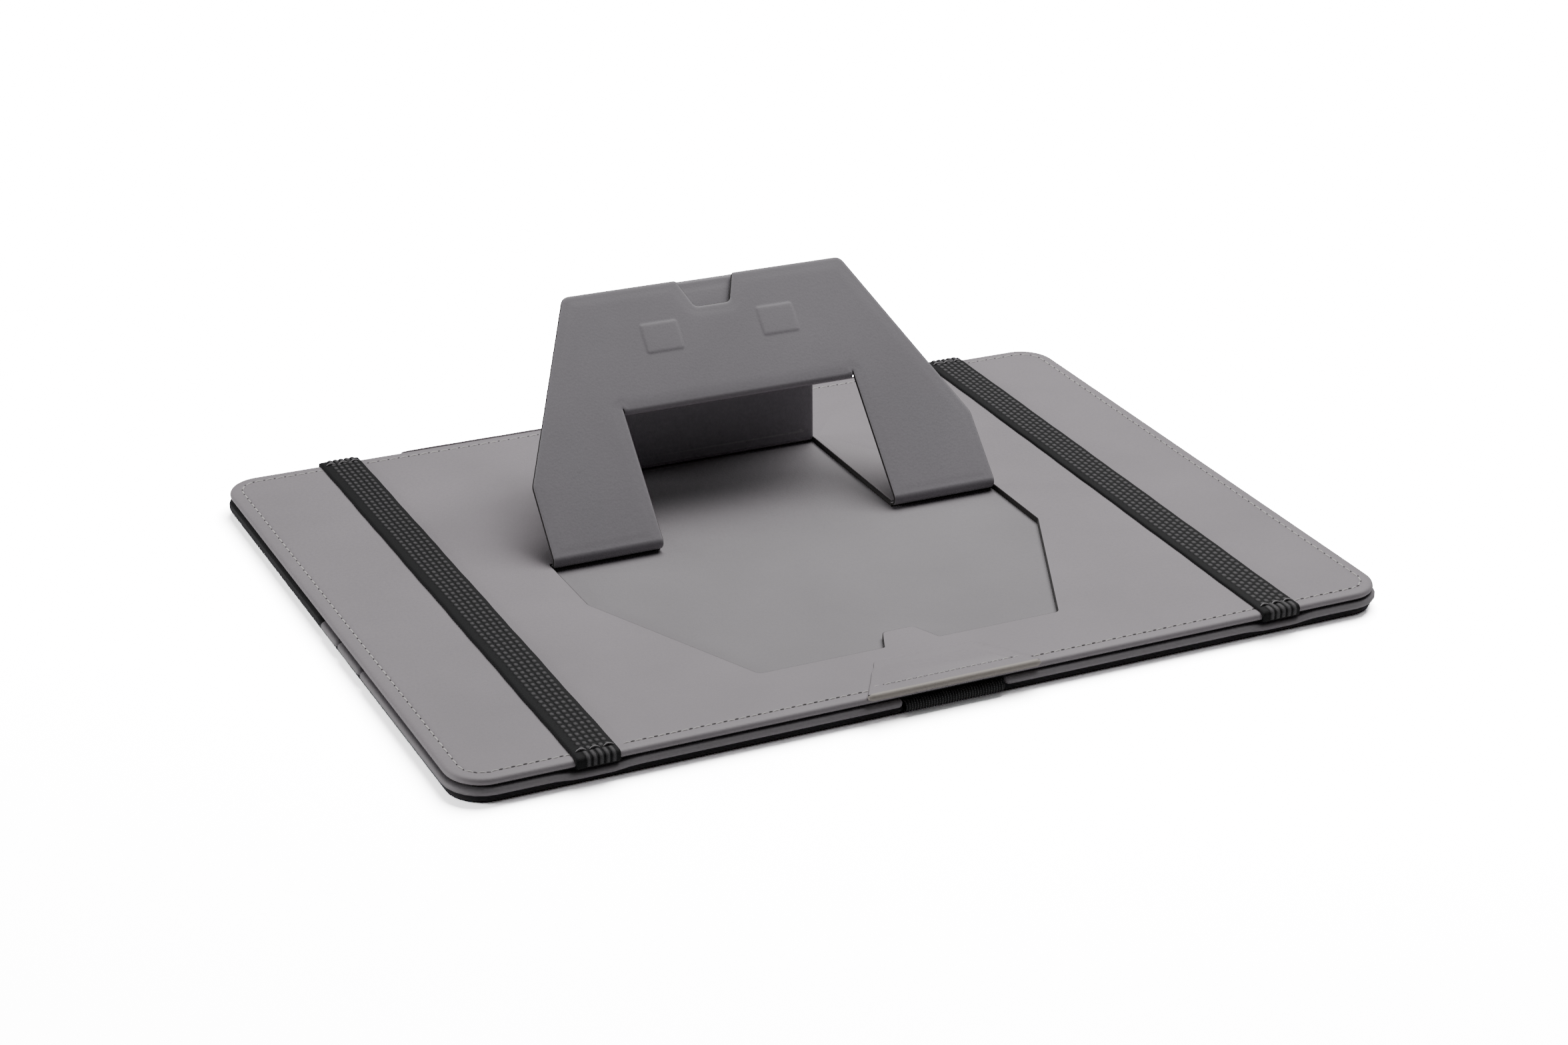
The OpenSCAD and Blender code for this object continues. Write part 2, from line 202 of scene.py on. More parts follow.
def webbing(name, ground, rib):
    """Woven elastic, near black in its hollows and paler on the tops of its nubs, by the mesh's own nub
    height.
    """
    m, n, l, bsdf = material(name)
    co = node(n, "ShaderNodeTexCoord")
    nub = node(n, "ShaderNodeAttribute", attribute_name="nub")
    yarn = node(n, "ShaderNodeTexWave", in_Scale=900, in_Distortion=2.0, in_Detail=2.0)
    yarn.bands_direction = "DIAGONAL"
    fuzz = node(n, "ShaderNodeTexNoise", in_Scale=3200, in_Detail=3.0)
    l.new(co.outputs["Object"], yarn.inputs["Vector"])
    l.new(co.outputs["Object"], fuzz.inputs["Vector"])
    shade = ramp(n, [(0.35, ground), (0.95, rib)])
    l.new(nub.outputs["Fac"], shade.inputs["Fac"])
    var = ramp(n, [(0.3, 0.7), (0.75, 1.15)])
    l.new(fuzz.outputs["Fac"], var.inputs["Fac"])
    mul = node(n, "ShaderNodeMix", data_type="RGBA", blend_type="MULTIPLY")
    mul.inputs["Factor"].default_value = 1.0
    l.new(shade.outputs["Color"], mul.inputs[6])
    l.new(var.outputs["Color"], mul.inputs[7])
    l.new(mul.outputs[2], bsdf.inputs["Base Color"])
    b = node(n, "ShaderNodeBump", in_Strength=0.5, in_Distance=0.00012)
    l.new(yarn.outputs["Fac"], b.inputs["Height"])
    l.new(b.outputs["Normal"], bsdf.inputs["Normal"])
    bsdf.inputs["Roughness"].default_value = 0.7
    bsdf.inputs["Specular IOR Level"].default_value = 0.25
    bsdf.inputs["Sheen Weight"].default_value = 0.03
    bsdf.inputs["Sheen Roughness"].default_value = 0.5
    return m


# the cover and the stand get a paler colour painted on their rounded edges as a highlight
GREY = leather("grey_leather", (0.325, 0.298, 0.319), edge_highlight=(0.37, 0.345, 0.362))
SHEET = leather("stand_leather", (0.285, 0.270, 0.292), edge_highlight=(0.35, 0.335, 0.35))
POCKET = leather("pocket_leather", (0.30, 0.285, 0.30))
FLOOR_SKIN = leather("recess_leather", (0.285, 0.268, 0.283))
DARK = leather("dark_leather", (0.030, 0.030, 0.033), rough=0.5)
PIPING = leather("patch_piping", (0.42, 0.385, 0.35), rough=0.5)
CUT_EDGE_AND_SHADE = fibre("cut_edge_and_shade", (0.012, 0.011, 0.011), (0.035, 0.032, 0.03))
LINING = fibre("lining", (0.010, 0.010, 0.011), (0.030, 0.030, 0.033), scale=4000)
BOARD = fibre("board", (0.03, 0.028, 0.026), (0.06, 0.056, 0.05))
ELASTIC = webbing("band_weave", (0.006, 0.006, 0.007), (0.14, 0.135, 0.14))
LOOP = webbing("loop_weave", (0.012, 0.012, 0.013), (0.15, 0.15, 0.155))
THREAD = fibre("thread", (0.52, 0.50, 0.49), (0.78, 0.76, 0.74), rough=0.6, scale=5000)
BAND_THREAD = fibre("band_thread", (0.20, 0.195, 0.20), (0.40, 0.39, 0.40), rough=0.6, scale=5000)
# needle holes: painted shade, the dark inside of each hole
HOLE_SHADE = fibre("needle_hole_shade", (0.035, 0.032, 0.032), (0.08, 0.075, 0.075))


# ---------------------------------------------------------------- mesh helpers
def ring(points, radii, inset, steps=5, pitch=None):
    """Rounded outline drawn in by inset. Every inset gives the same number of points."""
    n = len(points)
    pts = [Vector(p) for p in points]
    dirs = [(pts[(i + 1) % n] - pts[i]).normalized() for i in range(n)]
    corner, sign, half = [], [], []
    for i in range(n):
        a, b = dirs[i - 1], dirs[i]
        na, nb = Vector((-a.y, a.x)), Vector((-b.y, b.x))
        corner.append(pts[i] + (na + nb) * (inset / (1 + na.dot(nb))))
        cross = a.x * b.y - a.y * b.x
        sign.append(1 if cross >= 0 else -1)
        half.append(math.atan2(abs(cross), a.dot(b)) / 2)
    out = []
    arcs = []
    for i in range(n):
        r = max(radii[i] - inset * sign[i], 0.03)
        room = min((corner[i] - corner[i - 1]).length, (corner[(i + 1) % n] - corner[i]).length)
        t = min(r * math.tan(half[i]), 0.48 * room)
        r = t / max(math.tan(half[i]), 1e-6)
        a = dirs[i - 1]
        start = corner[i] - a * t
        centre = start + Vector((-a.y, a.x)) * (r * sign[i])
        arcs.append([centre + Matrix.Rotation(sign[i] * 2 * half[i] * k / steps, 2) @ (start - centre)
                     for k in range(steps + 1)])
    for i in range(n):
        out += arcs[i]
        if pitch:
            cuts = max(1, round((pts[(i + 1) % n] - pts[i]).length / pitch))
            a, b = arcs[i][-1], arcs[(i + 1) % n][0]
            out += [a.lerp(b, k / cuts) for k in range(1, cuts)]
    return out


def surrounds(points, p):
    """Whether p lies inside a closed outline."""
    inside = False
    for a, b in zip(points, points[1:] + points[:1]):
        if (a.y > p.y) != (b.y > p.y) and p.x < a.x + (p.y - a.y) / (b.y - a.y) * (b.x - a.x):
            inside = not inside
    return inside


class Builder:
    """Grows a mesh from closed loops of points, drawn flat and joined by walls and fills."""
    def __init__(self):
        self.bm = bmesh.new()

    def loop(self, pts2, z):
        zs = z if hasattr(z, "__len__") else [z] * len(pts2)
        return [self.bm.verts.new((p.x, p.y, h)) for p, h in zip(pts2, zs)]

    def wall(self, a, b, mat=0):
        n = len(a)
        for i in range(n):
            f = self.bm.faces.new((a[i], a[(i + 1) % n], b[(i + 1) % n], b[i]))
            f.material_index = mat
            f.smooth = True

    def fill(self, loops, up, mat=0):
        """Flat fill between an outline and the holes that follow it."""
        verts = [v for lp in loops for v in lp]
        flat = [v.co.to_2d() for v in verts]
        edges, holes, start = [], [], 0
        for lp in loops:
            n = len(lp)
            edges += [(start + i, start + (i + 1) % n) for i in range(n)]
            holes.append(flat[start:start + n])
            start += n
        _, _, tris, source, _, _ = delaunay_2d_cdt(flat, edges, [], 1, 1e-5)
        for tri in tris:
            ids = [source[i][0] for i in tri]
            middle = (flat[ids[0]] + flat[ids[1]] + flat[ids[2]]) / 3
            if any(surrounds(hole, middle) for hole in holes[1:]):
                continue
            f = self.bm.faces.new([verts[i] for i in (ids if up else reversed(ids))])
            f.material_index = mat
            f.smooth = True


def finish_mesh(name, bm, materials, sharp=38, mapping=place):
    """Makes an object of the mesh and marks its creases. mapping takes its points to the world, and
    with None they are there already and none are merged."""
    if mapping:
        bmesh.ops.remove_doubles(bm, verts=bm.verts[:], dist=0.01)
        for v in bm.verts:
            v.co = mapping(*v.co)
    bmesh.ops.recalc_face_normals(bm, faces=bm.faces[:])
    for e in bm.edges:
        e.smooth = len(e.link_faces) != 2 or e.calc_face_angle(0) < math.radians(sharp)
    mesh = bpy.data.meshes.new(name)
    bm.to_mesh(mesh)
    bm.free()
    obj = bpy.data.objects.new(name, mesh)
    bpy.context.scene.collection.objects.link(obj)
    for m in materials:
        mesh.materials.append(m)
    return obj


def slab(name, points, radii, profile, materials, steps, pitch=None, shift=None):
    """Closed layer: the profile goes from the middle of the upper face, over the edge, to the middle
    of the lower face, as (inset, z, material of the next stretch)."""
    b = Builder()
    loops = []
    for inset, z, mat in profile:
        pts = ring(points, radii, inset, steps, pitch)
        loops.append((b.loop(pts, z), mat))
    for (a, mat), (c, _) in zip(loops, loops[1:]):
        b.wall(a, c, mat)
    b.fill([loops[0][0]], True, profile[0][2])
    b.fill([loops[-1][0]], False, profile[-1][2])
    if shift:
        for v in b.bm.verts:
            v.co = shift(v.co.x, v.co.y, v.co.z)
    return finish_mesh(name, b.bm, materials)


def smooth_step(t):
    """Eases from 0 to 1 as t goes from 0 to 1."""
    t = min(1.0, max(0.0, t))
    return t * t * (3 - 2 * t)


PANEL = [(-HALF_W, 0), (HALF_W, 0), (HALF_W, DEPTH), (-HALF_W, DEPTH)]
PANEL_R = [CORNER] * 4

# ---------------------------------------------------------------- the stand's folds
# The stand is one sheet. s runs up it from the feet fold and t back along the tongue, which is the
# window fold, the flap, the top fold, the strut and the back fold. Side views are (y, z).
POLE_A, POLE_B, POLE_D = joint_at("stand_fold"), joint_at("flap_fold"), joint_at("strut_fold")
LEAN = math.radians(45)
UP = Vector((math.cos(LEAN), math.sin(LEAN)))
OUT = Vector((-math.sin(LEAN), math.cos(LEAN)))
# bend radii of the folds, and how far the sheet's middle plane lies from each fold's axis
FEET_R, WIN_R, TOP_R, BACK_R = 2.1, 1.1, 1.1, 1.2
FEET_H, TOP_H, BACK_H = 1.1, 0.6, 0.5
HALF_T = 0.8
MID_Z = -HALF_T
PLATE_LEN = 97.2
# degrees by which the strut's joint range is over the turn that its geometry gives
RANGE_SPARE = 0.0054
STRUT_LEAN = math.pi - math.radians(JOINTS["strut_fold"]["range_deg"][1] - RANGE_SPARE)
WINDOW_S = (POLE_B - POLE_A).dot(UP)
SPAN = POLE_D.x - POLE_A.x + WINDOW_S
gap = POLE_B - (WIN_R + TOP_H) * OUT - POLE_D
FLAP_LEN = ((SPAN ** 2 + (TOP_H + BACK_H) ** 2 - gap.dot(UP) ** 2 - gap.dot(OUT) ** 2)
            / (2 * (gap.dot(UP) + SPAN)))
STRUT_LEN = SPAN - FLAP_LEN
POLE_C = POLE_B + FLAP_LEN * UP - (WIN_R + TOP_H) * OUT
# length of sheet that a fold takes up on either side of its axis (U) and round its bend (ARC)
FEET_U = (FEET_R - FEET_H) / math.tan(LEAN / 2)
WIN_U = math.pi * WIN_R / 2
TOP_U = (TOP_R - TOP_H) / math.tan((STRUT_LEAN - LEAN) / 2)
BACK_U = (BACK_R - BACK_H) / math.tan(STRUT_LEAN / 2)
FEET_ARC = FEET_R * (math.pi - LEAN)
WIN_ARC = math.pi * WIN_R
TOP_ARC = TOP_R * (math.pi - STRUT_LEAN + LEAN)
BACK_ARC = BACK_R * (math.pi - STRUT_LEAN)
FLAP_FLAT = FLAP_LEN - WIN_U - TOP_U
STRUT_FLAT = STRUT_LEN - TOP_U - BACK_U
PLATE_END = WINDOW_S + WIN_U
# where each stretch of the tongue begins
T_FLAP = WIN_ARC
T_TOP = T_FLAP + FLAP_FLAT
T_STRUT = T_TOP + TOP_ARC
T_BACK = T_STRUT + STRUT_FLAT
T_PANEL = T_BACK + BACK_ARC
# half width at which the tongue parts from the legs, and how far the sheet runs on past its bends
TONGUE = 45.46
LAP = 0.5


def polar(angle):
    """Unit vector of the side view."""
    return Vector((math.cos(angle), math.sin(angle)))


def sheet_side(x, s):
    """Where the sheet's middle goes and which way its front faces, in the side view."""
    if abs(x) > TONGUE or s >= PLATE_END:
        if s >= FEET_U:
            return POLE_A + s * UP + FEET_H * OUT, OUT
        run = FEET_U - s
        centre = Vector((POLE_A.x + FEET_U, MID_Z + FEET_R))
        if run < FEET_ARC:
            d = polar(LEAN + math.pi / 2 + run / FEET_R)
            return centre + FEET_R * d, d
        return Vector((centre.x + run - FEET_ARC, MID_Z)), Vector((0, -1))
    t = PLATE_END - s
    if t < T_FLAP:
        d = polar(LEAN + math.pi / 2 + t / WIN_R)
        return POLE_B + WIN_U * UP + WIN_R * d, d
    if t < T_TOP:
        return POLE_B + (WIN_U + t - T_FLAP) * UP - WIN_R * OUT, -OUT
    if t < T_STRUT:
        d = polar(LEAN + math.pi / 2 - (t - T_TOP) / TOP_R)
        return POLE_C - TOP_U * UP + (TOP_H - TOP_R) * OUT + TOP_R * d, -d
    face = polar(STRUT_LEAN + math.pi / 2)
    if t < T_BACK:
        down = polar(STRUT_LEAN)
        return POLE_D + (STRUT_LEN - TOP_U - (t - T_STRUT)) * down + BACK_H * face, face
    centre = Vector((POLE_D.x + BACK_U, MID_Z + BACK_R))
    if t < T_PANEL:
        d = polar(STRUT_LEAN + math.pi / 2 + (t - T_BACK) / BACK_R)
        return centre + BACK_R * d, d
    return Vector((centre.x + t - T_PANEL, MID_Z)), Vector((0, -1))


# half widths of the plate at its feet, knee and upper edge, of the window and of the tongue in it.
# The knee is KNEE_S up the plate, and the notch in the upper edge is NOTCH_D deep.
FOOT_X, KNEE_X, KNEE_S, TOP_X = 86.8, 86.5, 29.0, 55.3
WIN_X, IN_X = 45.5, 45.42
NOTCH_TOP_X, NOTCH_LOW_X, NOTCH_D = 11.2, 6.8, 11
SLOT_S = PLATE_END - 0.1
LEG_END = FEET_U - FEET_ARC - LAP
TONGUE_END = PLATE_END - T_PANEL - LAP
OUTLINE = [(-FOOT_X, LEG_END), (-WIN_X, LEG_END), (-WIN_X, SLOT_S), (-IN_X, SLOT_S),
           (-IN_X, TONGUE_END), (IN_X, TONGUE_END), (IN_X, SLOT_S), (WIN_X, SLOT_S),
           (WIN_X, LEG_END), (FOOT_X, LEG_END), (KNEE_X, KNEE_S), (TOP_X, PLATE_LEN),
           (NOTCH_TOP_X, PLATE_LEN), (NOTCH_LOW_X, PLATE_LEN - NOTCH_D),
           (-NOTCH_LOW_X, PLATE_LEN - NOTCH_D), (-NOTCH_TOP_X, PLATE_LEN),
           (-TOP_X, PLATE_LEN), (-KNEE_X, KNEE_S)]
OUTLINE_R = [0.1] * 10 + [6, 3.5, 1.2, 2.2, 2.2, 1.2, 3.5, 6]
# inset from the cut edge, half thickness, material of the next stretch: 0 skin, 1 cut edge
EDGE = [(6.4, HALF_T, 0), (5.2, HALF_T, 0), (4.3, 0.785, 0), (3.5, 0.75, 0), (2.8, 0.71, 0),
        (2.0, 0.68, 0), (1.2, 0.66, 0), (0.6, 0.60, 0), (0.2, 0.48, 1), (0.0, 0.28, 1)]
# the magnets' raised rectangles: middle across, lower and upper end up the plate, half width
MAGNET_X, MAGNET_LOW, MAGNET_HIGH, MAGNET_HALF = 23, 70.4, 82.6, 7.6
PAD = [(-0.4, HALF_T), (0.0, HALF_T), (0.45, 0.90), (0.8, 0.985), (1.2, 1.03), (1.8, 1.04)]
# how far the window and back folds' pieces, and the top fold's, reach past their bends
WIN_REACH, TOP_REACH = 1.0, 0.3
# the plate starts to thin this far before the window fold
BOARD_GAP = 4.8


def flat_sheet():
    """The whole stand laid flat, as (x, s, height over the middle plane)."""
    b = Builder()
    profile = EDGE + [(i, -z, 0) for i, z, _ in reversed(EDGE)]
    loops = [(b.loop(ring(OUTLINE, OUTLINE_R, i, 4), z), m) for i, z, m in profile]
    for (a, mat), (c, _) in zip(loops, loops[1:]):
        b.wall(a, c, mat)
    pads = []
    for x in (-MAGNET_X, MAGNET_X):
        box = [(x - MAGNET_HALF, MAGNET_LOW), (x + MAGNET_HALF, MAGNET_LOW),
               (x + MAGNET_HALF, MAGNET_HIGH), (x - MAGNET_HALF, MAGNET_HIGH)]
        rings = [b.loop(ring(box, [1.4] * 4, i, 3), z) for i, z in PAD]
        for a, c in zip(rings, rings[1:]):
            b.wall(a, c, 0)
        b.fill([rings[-1]], True, 0)
        pads.append(rings[0])
    b.fill([loops[0][0]] + pads, True, 0)
    b.fill([loops[-1][0]], False, 0)
    bmesh.ops.remove_doubles(b.bm, verts=b.bm.verts[:], dist=0.03)
    return b.bm


def cut_at_folds(bm):
    """Cuts across the sheet, close together where it bends."""
    cuts_s = [FEET_U + d for d in (-FEET_ARC, 0, 1.0, 1.6, 2.2, 2.8)]
    cuts_s += [FEET_U - FEET_ARC * k / 14 for k in range(1, 14)]
    cuts_t = [-BOARD_GAP, -4.0, -3.2, -2.4, -1.7, -WIN_REACH, -0.4]
    cuts_t += [T_FLAP * k / 12 for k in range(13)]
    cuts_t += [T_FLAP + d for d in (WIN_REACH, 2.0, 2.7, 3.4, 4.0)]
    cuts_t += [T_TOP - d for d in (4.0, 3.4, 2.7, 2.0, TOP_REACH)]
    cuts_t += [T_TOP + TOP_ARC * k / 12 for k in range(13)]
    cuts_t += [T_STRUT + d for d in (TOP_REACH, 2.0, 2.7, 3.4, 4.0)]
    cuts_t += [T_BACK - d for d in (4.0, 3.4, 2.7, 2.0, WIN_REACH)]
    cuts_t += [T_BACK + BACK_ARC * k / 10 for k in range(11)]
    cuts = [((0, s, 0), (0, 1, 0)) for s in cuts_s]
    cuts += [((0, PLATE_END - t, 0), (0, 1, 0)) for t in cuts_t]
    cuts += [((k * x, 0, 0), (1, 0, 0)) for x in (TONGUE, TONGUE - 2.2, TONGUE - 1.1) for k in (-1, 1)]
    for co, no in cuts:
        bmesh.ops.bisect_plane(bm, geom=bm.verts[:] + bm.edges[:] + bm.faces[:], dist=1e-6,
                               plane_co=co, plane_no=no)


def thinned(x, s):
    """How far the boards have stopped here: 0 on a board, 1 at a fold, more round the window fold."""
    if abs(x) <= TONGUE + 0.01:
        t = PLATE_END - s
        if t < 0.1:
            side = smooth_step((TONGUE - abs(x)) / 2.2)
            return side * (2.4 * max(0.0, 1 + min(t, 0) / BOARD_GAP) ** 2)
        folds = [(0, T_FLAP), (T_TOP, T_STRUT), (T_BACK, T_PANEL)]
        gapped = min(max(a - t, t - c, 0) for a, c in folds)
        near = 1.4 * max(0.0, 1 - t / (0.8 * T_FLAP)) if t < T_FLAP else 0
        return near + 1 - smooth_step((gapped - 1.6) / 2.6)
    return 0.5 - 0.5 * smooth_step((s - FEET_U - 0.8) / 2.6) if s < 20 else 0


def part_of(face):
    """Which piece a face of the flat sheet belongs to."""
    c = face.calc_center_median()
    if abs(c.x) > TONGUE:
        if c.y > FEET_U + 1.0:
            return "plate"
        return "foot_left" if c.x < 0 else "foot_right"
    t = PLATE_END - c.y
    if t < -WIN_REACH:
        return "plate"
    if t < T_FLAP + WIN_REACH:
        return "window"
    if t < T_TOP - TOP_REACH:
        return "flap"
    if t < T_STRUT + TOP_REACH:
        return "top"
    return "strut" if t < T_BACK - WIN_REACH else "back"


def copied(faces):
    """A mesh of its own from some of another's faces."""
    sub = bmesh.new()
    known = {}
    for f in faces:
        vs = []
        for v in f.verts:
            if v not in known:
                known[v] = sub.verts.new(v.co)
            vs.append(known[v])
        try:
            g = sub.faces.new(vs)
        except ValueError:
            continue
        g.material_index = f.material_index
        g.smooth = True
    return sub


def raise_piece(bm, key):
    """Bends a flat piece into the raised stand, each with its own side of the tongue's edge."""
    inner = key in ("window", "flap", "top", "strut", "back")
    for v in bm.verts:
        x, s, n = v.co
        probe = (TONGUE - 0.2) * (1 if x > 0 else -1) if inner else x
        if not inner and abs(x) <= TONGUE + 0.001 and s < PLATE_END:
            probe = (TONGUE + 0.2) * (1 if x > 0 else -1)
        if inner and abs(x) < TONGUE:
            probe = x
        p, d = sheet_side(probe, s)
        p = p + n * d
        v.co = place(x, p.x, p.y)


def build_stand():
    """The stand's pieces, cut from one sheet so that their edges meet."""
    bm = flat_sheet()
    cut_at_folds(bm)
    for v in bm.verts:
        x, s, n = v.co
        most = HALF_T - 0.11 * thinned(x, s)
        if abs(n) <= HALF_T + 0.01 and abs(n) > most:
            v.co.z = math.copysign(most, n)
    groups = {}
    for f in bm.faces:
        groups.setdefault(part_of(f), []).append(f)
    made = {}
    for key, faces in groups.items():
        piece = copied(faces)
        raise_piece(piece, key)
        made[key] = finish_mesh("stand_" + key, piece, [SHEET, CUT_EDGE_AND_SHADE], mapping=None, sharp=50)
    bm.free()
    return made


stand = build_stand()


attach(stand["plate"], "stand_plate")
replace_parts(stand["plate"], "plate_front", "plate_board", "plate_back", "plate_magnets")
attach(stand["flap"], "stand_flap")
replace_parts(stand["flap"], "flap_front", "flap_board", "flap_back", "flap_keepers")
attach(stand["strut"], "stand_strut")
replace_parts(stand["strut"], "strut_front", "strut_board", "strut_back")
for side in ("left", "right"):
    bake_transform(stand["foot_" + side])
    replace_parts(stand["foot_" + side], "foot_fold_" + side)
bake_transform(stand["window"])
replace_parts(stand["window"], "window_fold")
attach(stand["top"], "stand_flap")
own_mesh(stand["top"])
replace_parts(stand["top"], "top_fold")
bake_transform(stand["back"])
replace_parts(stand["back"], "back_fold")

# ---------------------------------------------------------------- upper panel
RECESS_Y = POLE_A.x - PLATE_LEN - 0.6
KNEE_Y = 96
FEET_END = POLE_A.x + FEET_U
BACK_END = POLE_D.x + BACK_U
CUTOUT = [(-55.8, RECESS_Y), (-10.3, RECESS_Y), (-5.8, RECESS_Y + 10), (5.8, RECESS_Y + 10),
          (10.3, RECESS_Y), (55.8, RECESS_Y), (87.0, KNEE_Y), (87.2, FEET_END), (45.6, FEET_END),
          (45.6, BACK_END), (-45.6, BACK_END), (-45.6, FEET_END), (-87.2, FEET_END), (-87.0, KNEE_Y)]
CUTOUT_R = [2.0, 0.5, 2.4, 2.4, 0.5, 2.0, 3, 0.4, 0.2, 1.0, 1.0, 0.2, 0.4, 3]


def build_cover():
    b = Builder()
    rim = [(2.0, -2.34), (1.1, -2.4), (0.45, -2.28), (0.12, -1.95), (0.0, -1.45), (0.07, -0.95),
           (0.32, -0.5), (0.8, -0.17), (1.45, -0.03), (2.3, 0.0), (3.6, 0.0), (4.0, -0.07),
           (SEAM_IN, -0.16), (5.0, -0.07), (5.4, 0.0), (6.2, 0.0), (7.6, 0.0)]
    loops = []
    for inset, z in rim:
        pts = ring(PANEL, PANEL_R, inset, 10, 2.0)
        pull = math.exp(-((inset - SEAM_IN) / 1.3) ** 2) * 0.05
        zs = [z - pull * (0.5 + 0.5 * math.cos(math.pi * (p.x + p.y))) for p in pts]
        loops.append(b.loop(pts, zs if inset < 7 else 0.0))
    for a, c in zip(loops, loops[1:]):
        b.wall(a, c)
    lip = [(2.8, 0.0), (2.2, 0.0), (1.6, 0.0), (0.8, 0.02), (0.45, 0.0), (0.26, -0.04), (0.02, -0.14),
           (0.0, -0.52)]
    cut = [b.loop(ring(CUTOUT, CUTOUT_R, -d, 5), z) for d, z in lip]
    for k, (a, c) in enumerate(zip(cut, cut[1:])):
        b.wall(a, c, 1 if k > 4 else 0)
    b.fill([loops[-1], cut[0]], True)
    return finish_mesh("top_cover", b.bm, [GREY, CUT_EDGE_AND_SHADE], sharp=60)


cover = build_cover()
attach(cover, "stand_panel")
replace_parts(cover, "top_skin")

# closure patch: a thin leaf with a piped near edge
PATCH = [(-31.8, -0.3), (31.8, -0.3), (27, 7.3), (23, 14), (20.6, 17.2), (18.3, 21.5),
         (-18.3, 21.5), (-20.6, 17.2), (-23, 14), (-27, 7.3)]
PATCH_R = [0.5, 0.5, 20, 14, 5, 3.0, 3.0, 5, 14, 20]
# the patch's side carries the black cut-edge material as a painted shadow line along its edge
patch_profile = [(5.6, 0.60, 0), (5.0, 0.60, 0), (4.5, 0.50, 0), (4.0, 0.60, 0), (3.0, 0.66, 0),
                 (1.4, 0.66, 0), (0.7, 0.64, 0), (0.28, 0.56, 0), (0.08, 0.40, 1), (0, 0.2, 1),
                 (0.0, 0.0, 1)]


def patch_rise(x, y, z):
    rise = 0.68 * (1 - smooth_step((y - 1) / 17)) if z > 0.02 else 0
    return Vector((x, y, z + rise))


patch = slab("closure_patch_leaf", PATCH, PATCH_R, patch_profile, [GREY, CUT_EDGE_AND_SHADE], steps=5, shift=patch_rise)
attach(patch, "stand_panel")
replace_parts(patch, "closure_patch")


def tube_along(bm, path, radius, sides, squeeze=1.0):
    """Adds a closed round tube along the points. Its radius goes by the share of the way along."""
    rows = []
    n = len(path)
    for i, p in enumerate(path):
        d = (path[min(i + 1, n - 1)] - path[max(i - 1, 0)]).normalized()
        side = d.cross(Vector((0, 0, 1)))
        side = side.normalized() if side.length > 1e-6 else Vector((1, 0, 0))
        top = side.cross(d)
        r = radius(i / (n - 1))
        rows.append([bm.verts.new(p + side * (r * math.cos(2 * math.pi * k / sides))
                                  + top * (r * squeeze * math.sin(2 * math.pi * k / sides)))
                     for k in range(sides)])
    faces = [(a[k], a[(k + 1) % sides], c[(k + 1) % sides], c[k])
             for a, c in zip(rows, rows[1:]) for k in range(sides)]
    for corners in faces + [list(reversed(rows[0])), rows[-1]]:
        bm.faces.new(corners).smooth = True


def piping():
    """Roll of pale leather along the patch's near edge."""
    bm = bmesh.new()
    count = 60
    path = [Vector((-31.4 + 62.8 * i / count, -0.2, 0.1)) for i in range(count + 1)]
    tip = lambda t: 1.25 * min(1.0, (min(t, 1 - t) * 60 + 0.35)) ** 0.5
    tube_along(bm, path, tip, sides=14)
    return finish_mesh("patch_roll", bm, [PIPING])


roll = piping()
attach(roll, "stand_panel")


# ---------------------------------------------------------------- stitches
def along(points, pitch):
    """Evenly spaced places round a closed line, with their directions."""
    pts = points + [points[0]]
    seg = [(b - a).length for a, b in zip(pts, pts[1:])]
    total = sum(seg)
    count = max(1, round(total / pitch))
    out, i, done = [], 0, 0.0
    for k in range(count):
        want = total * (k + 0.5) / count
        while i < len(seg) - 1 and done + seg[i] < want:
            done += seg[i]
            i += 1
        d = (pts[i + 1] - pts[i]).normalized()
        out.append((pts[i] + d * (want - done), d))
    return out


def stitch(bm, x, y, z, d, length, width):
    """One stitch: a short thread that arches up and dips into the leather at both ends."""
    rise, sunk = 0.24, 0.16
    path = []
    for k in range(7):
        t = k / 6 * 2 - 1
        path.append(Vector((x + d.x * t * length / 2, y + d.y * t * length / 2,
                            z + rise * (1 - t * t) - sunk)))
    tube_along(bm, path, lambda u: width * (0.55 + 0.45 * math.sin(math.pi * u)), sides=7, squeeze=0.8)


def hole(bm, x, y, z, d, length, width):
    """Needle hole, drawn out along the seam, painted dark for the shade inside it."""
    centre = bm.verts.new((x, y, z - 0.10))
    rim = [bm.verts.new((x + length * math.cos(a) * d.x - width * math.sin(a) * d.y,
                         y + length * math.cos(a) * d.y + width * math.sin(a) * d.x, z + 0.012))
           for a in [2 * math.pi * k / 8 for k in range(8)]]
    for k in range(8):
        f = bm.faces.new((centre, rim[k], rim[(k + 1) % 8]))
        f.material_index = 1


BAND_W = (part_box("band_right")[1].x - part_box("band_right")[0].x) * 1000
BAND_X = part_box("band_right")[1].x * 1000 - BAND_W / 2


def band_middle(side, y):
    """The bands sit a little askew on the panel."""
    t = y / DEPTH
    return -BAND_X + 1.1 * (1 - t) if side < 0 else BAND_X + 0.1 + 1.2 * t


